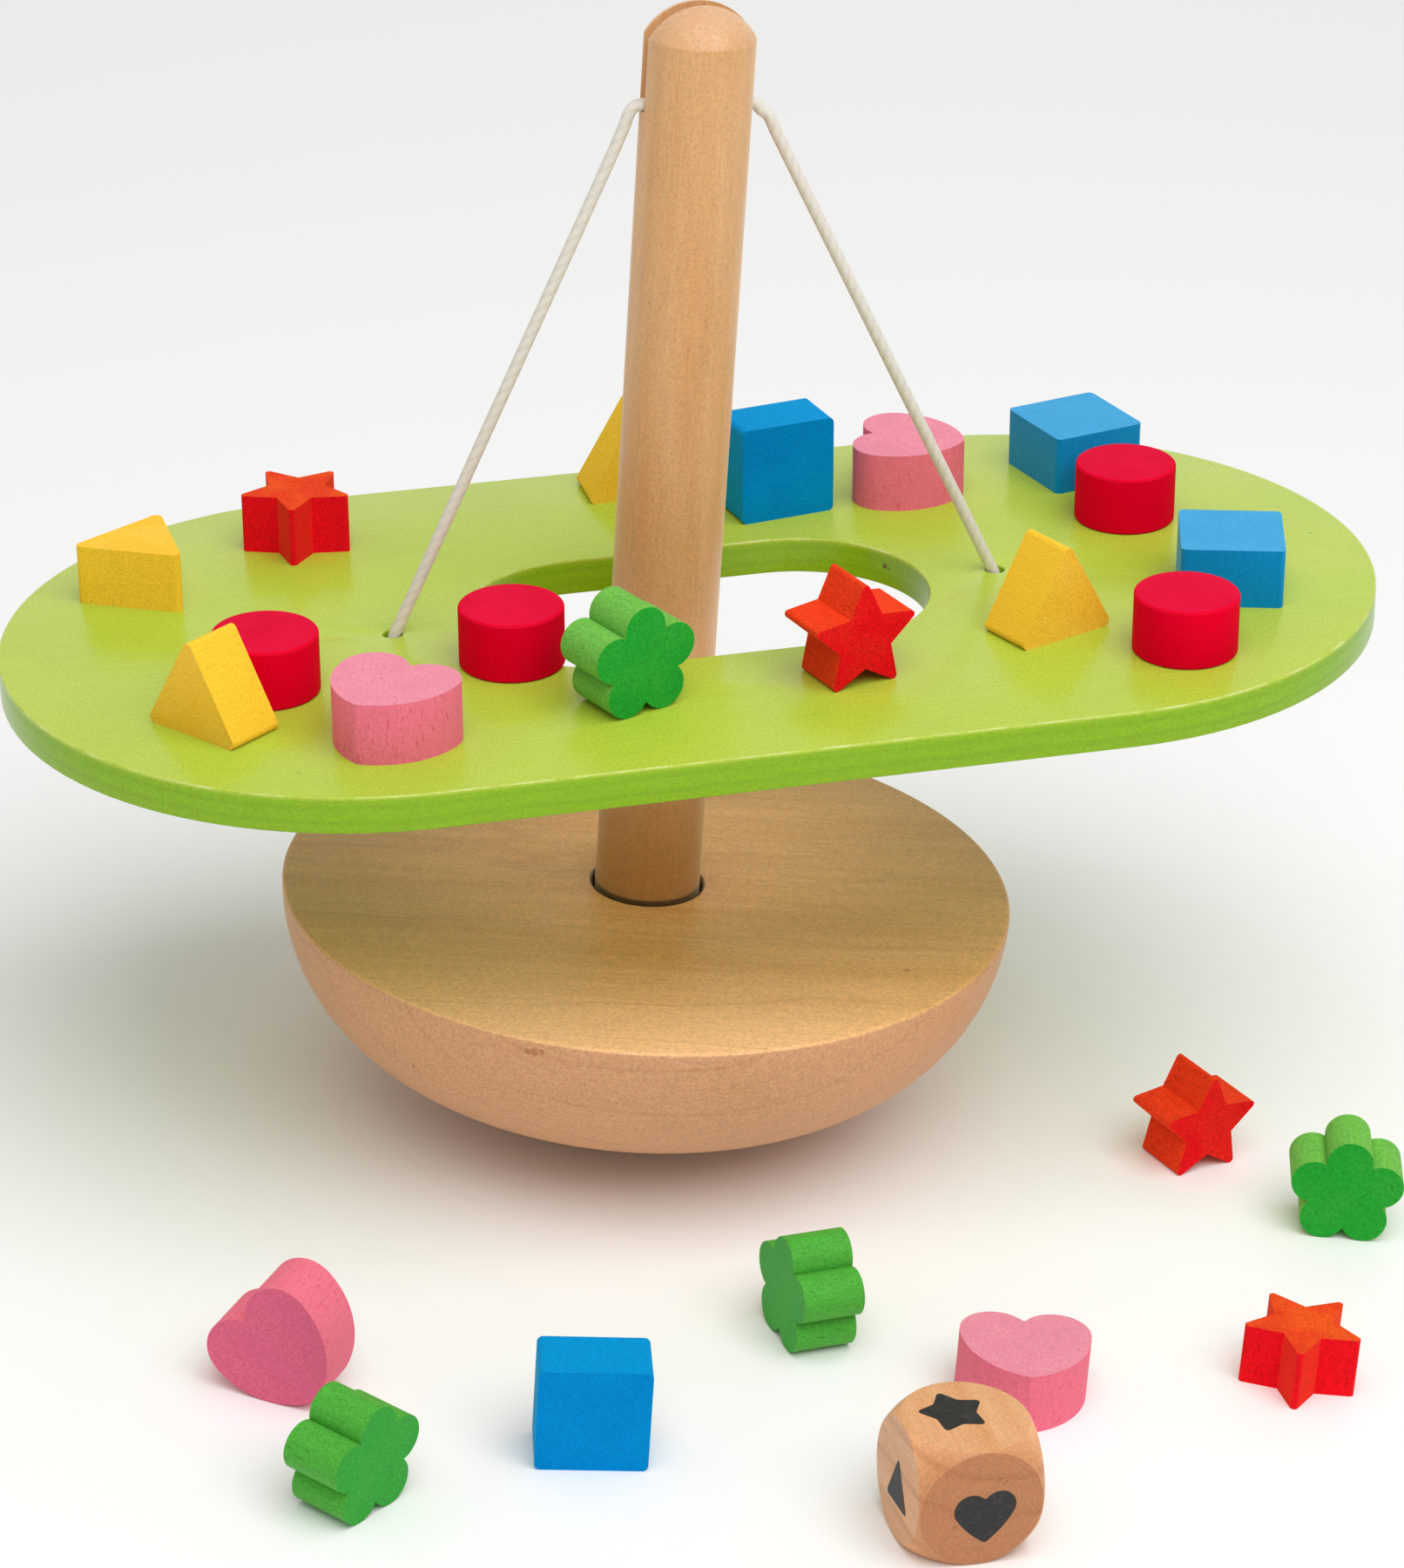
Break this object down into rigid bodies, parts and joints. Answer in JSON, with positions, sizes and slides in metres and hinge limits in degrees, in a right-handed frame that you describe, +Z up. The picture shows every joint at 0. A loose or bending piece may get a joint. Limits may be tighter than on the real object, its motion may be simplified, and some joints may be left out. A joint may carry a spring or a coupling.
{
  "type": "balance game",
  "caption": "Wooden balance game: a long deck hangs on a cord from a slotted mast on a round-bottomed rocker base, with loose shape pieces and a die.",
  "frame": {"origin": "lowest point of the rocker base on its axis, where it meets the table", "axes": "+Z up along the mast, +X along the deck with the cord in the XZ plane, +Y across the deck away from the loose pieces"},
  "size_m": [0.2799, 0.2586, 0.2324],
  "materials": {
    "base_beech": "clear satin lacquer on turned light wood",
    "mast_beech": "clear satin lacquer on a beech dowel",
    "cotton_cord": "soft twisted white cord",
    "green_stained_plywood": "lime green stain under satin lacquer",
    "yellow_stained_wood": "yellow stain, matt",
    "red_stained_wood": "red stain, matt",
    "blue_stained_wood": "blue stain, matt",
    "pink_stained_wood": "pink stain, matt",
    "green_stained_wood": "green stain, matt",
    "orange_stained_wood": "orange-red stain, matt",
    "die_beech": "clear satin lacquer, black printed shapes"
  },
  "bodies": {
    "base": {"base": "base_beech"},
    "mast": {"mast": "mast_beech"},
    "cord": {"cord": "cotton_cord"},
    "deck": {"deck": "green_stained_plywood"},
    "yellow_triangle_1": {"yellow_triangle_1": "yellow_stained_wood"},
    "yellow_triangle_2": {"yellow_triangle_2": "yellow_stained_wood"},
    "yellow_triangle_3": {"yellow_triangle_3": "yellow_stained_wood"},
    "yellow_triangle_4": {"yellow_triangle_4": "yellow_stained_wood"},
    "red_cylinder_1": {"red_cylinder_1": "red_stained_wood"},
    "red_cylinder_2": {"red_cylinder_2": "red_stained_wood"},
    "red_cylinder_3": {"red_cylinder_3": "red_stained_wood"},
    "red_cylinder_4": {"red_cylinder_4": "red_stained_wood"},
    "blue_block_1": {"blue_block_1": "blue_stained_wood"},
    "blue_block_2": {"blue_block_2": "blue_stained_wood"},
    "blue_block_3": {"blue_block_3": "blue_stained_wood"},
    "blue_block_4": {"blue_block_4": "blue_stained_wood"},
    "pink_heart_1": {"pink_heart_1": "pink_stained_wood"},
    "pink_heart_2": {"pink_heart_2": "pink_stained_wood"},
    "pink_heart_3": {"pink_heart_3": "pink_stained_wood"},
    "pink_heart_4": {"pink_heart_4": "pink_stained_wood"},
    "green_flower_1": {"green_flower_1": "green_stained_wood"},
    "green_flower_2": {"green_flower_2": "green_stained_wood"},
    "green_flower_3": {"green_flower_3": "green_stained_wood"},
    "green_flower_4": {"green_flower_4": "green_stained_wood"},
    "red_star_1": {"red_star_1": "orange_stained_wood"},
    "red_star_2": {"red_star_2": "orange_stained_wood"},
    "red_star_3": {"red_star_3": "orange_stained_wood"},
    "red_star_4": {"red_star_4": "orange_stained_wood"},
    "die": {"die": "die_beech"}
  },
  "joints": [
    {"name": "mast_lift", "type": "slide", "parent": "base", "child": "mast", "axis": [0, 0, 1], "range_m": [0, 0.03]},
    {"name": "deck_swing", "type": "hinge", "parent": "mast", "child": "cord", "pos_m": [0, 0, 0.21295], "axis": [0, 1, 0], "range_deg": [-8, 15.5], "deforming": ["cord"]},
    {"name": "deck_roll", "type": "hinge", "parent": "cord", "child": "deck", "pos_m": [0.00679, 0, 0.11077], "axis": [0.9978, 0, 0.0663], "range_deg": [-12, 12], "deforming": ["cord"]},
    {"name": "yellow_triangle_1_lift", "type": "slide", "parent": "deck", "child": "yellow_triangle_1", "axis": [-0.0663, 0, 0.9978], "range_m": [0, 0.03]},
    {"name": "yellow_triangle_2_lift", "type": "slide", "parent": "deck", "child": "yellow_triangle_2", "axis": [-0.0663, 0, 0.9978], "range_m": [0, 0.03]},
    {"name": "yellow_triangle_3_lift", "type": "slide", "parent": "deck", "child": "yellow_triangle_3", "axis": [-0.0663, 0, 0.9978], "range_m": [0, 0.03]},
    {"name": "yellow_triangle_4_lift", "type": "slide", "parent": "deck", "child": "yellow_triangle_4", "axis": [-0.0663, 0, 0.9978], "range_m": [0, 0.03]},
    {"name": "red_cylinder_1_lift", "type": "slide", "parent": "deck", "child": "red_cylinder_1", "axis": [-0.0663, 0, 0.9978], "range_m": [0, 0.03]},
    {"name": "red_cylinder_2_lift", "type": "slide", "parent": "deck", "child": "red_cylinder_2", "axis": [-0.0663, 0, 0.9978], "range_m": [0, 0.03]},
    {"name": "red_cylinder_3_lift", "type": "slide", "parent": "deck", "child": "red_cylinder_3", "axis": [-0.0663, 0, 0.9978], "range_m": [0, 0.03]},
    {"name": "red_cylinder_4_lift", "type": "slide", "parent": "deck", "child": "red_cylinder_4", "axis": [-0.0663, 0, 0.9978], "range_m": [0, 0.03]},
    {"name": "blue_block_1_lift", "type": "slide", "parent": "deck", "child": "blue_block_1", "axis": [-0.0663, 0, 0.9978], "range_m": [0, 0.03]},
    {"name": "blue_block_2_lift", "type": "slide", "parent": "deck", "child": "blue_block_2", "axis": [-0.0663, 0, 0.9978], "range_m": [0, 0.03]},
    {"name": "blue_block_3_lift", "type": "slide", "parent": "deck", "child": "blue_block_3", "axis": [-0.0663, 0, 0.9978], "range_m": [0, 0.03]},
    {"name": "blue_block_4_lift", "type": "slide", "parent": "base", "child": "blue_block_4", "axis": [0, 0, 1], "range_m": [0, 0.03]},
    {"name": "pink_heart_1_lift", "type": "slide", "parent": "deck", "child": "pink_heart_1", "axis": [-0.0663, 0, 0.9978], "range_m": [0, 0.03]},
    {"name": "pink_heart_2_lift", "type": "slide", "parent": "deck", "child": "pink_heart_2", "axis": [-0.0663, 0, 0.9978], "range_m": [0, 0.03]},
    {"name": "pink_heart_3_lift", "type": "slide", "parent": "base", "child": "pink_heart_3", "axis": [0, 0, 1], "range_m": [0, 0.03]},
    {"name": "pink_heart_4_lift", "type": "slide", "parent": "base", "child": "pink_heart_4", "axis": [0, 0, 1], "range_m": [0, 0.03]},
    {"name": "green_flower_1_lift", "type": "slide", "parent": "deck", "child": "green_flower_1", "axis": [-0.0663, 0, 0.9978], "range_m": [0, 0.03]},
    {"name": "green_flower_2_lift", "type": "slide", "parent": "base", "child": "green_flower_2", "axis": [0, 0, 1], "range_m": [0, 0.03]},
    {"name": "green_flower_3_lift", "type": "slide", "parent": "base", "child": "green_flower_3", "axis": [0, 0, 1], "range_m": [0, 0.03]},
    {"name": "green_flower_4_lift", "type": "slide", "parent": "base", "child": "green_flower_4", "axis": [0, 0, 1], "range_m": [0, 0.03]},
    {"name": "red_star_1_lift", "type": "slide", "parent": "deck", "child": "red_star_1", "axis": [-0.0663, 0, 0.9978], "range_m": [0, 0.03]},
    {"name": "red_star_2_lift", "type": "slide", "parent": "deck", "child": "red_star_2", "axis": [-0.0663, 0, 0.9978], "range_m": [0, 0.03]},
    {"name": "red_star_3_lift", "type": "slide", "parent": "base", "child": "red_star_3", "axis": [0, 0, 1], "range_m": [0, 0.03]},
    {"name": "red_star_4_lift", "type": "slide", "parent": "base", "child": "red_star_4", "axis": [0, 0, 1], "range_m": [0, 0.03]},
    {"name": "die_lift", "type": "slide", "parent": "base", "child": "die", "axis": [0, 0, 1], "range_m": [0, 0.03]}
  ]
}
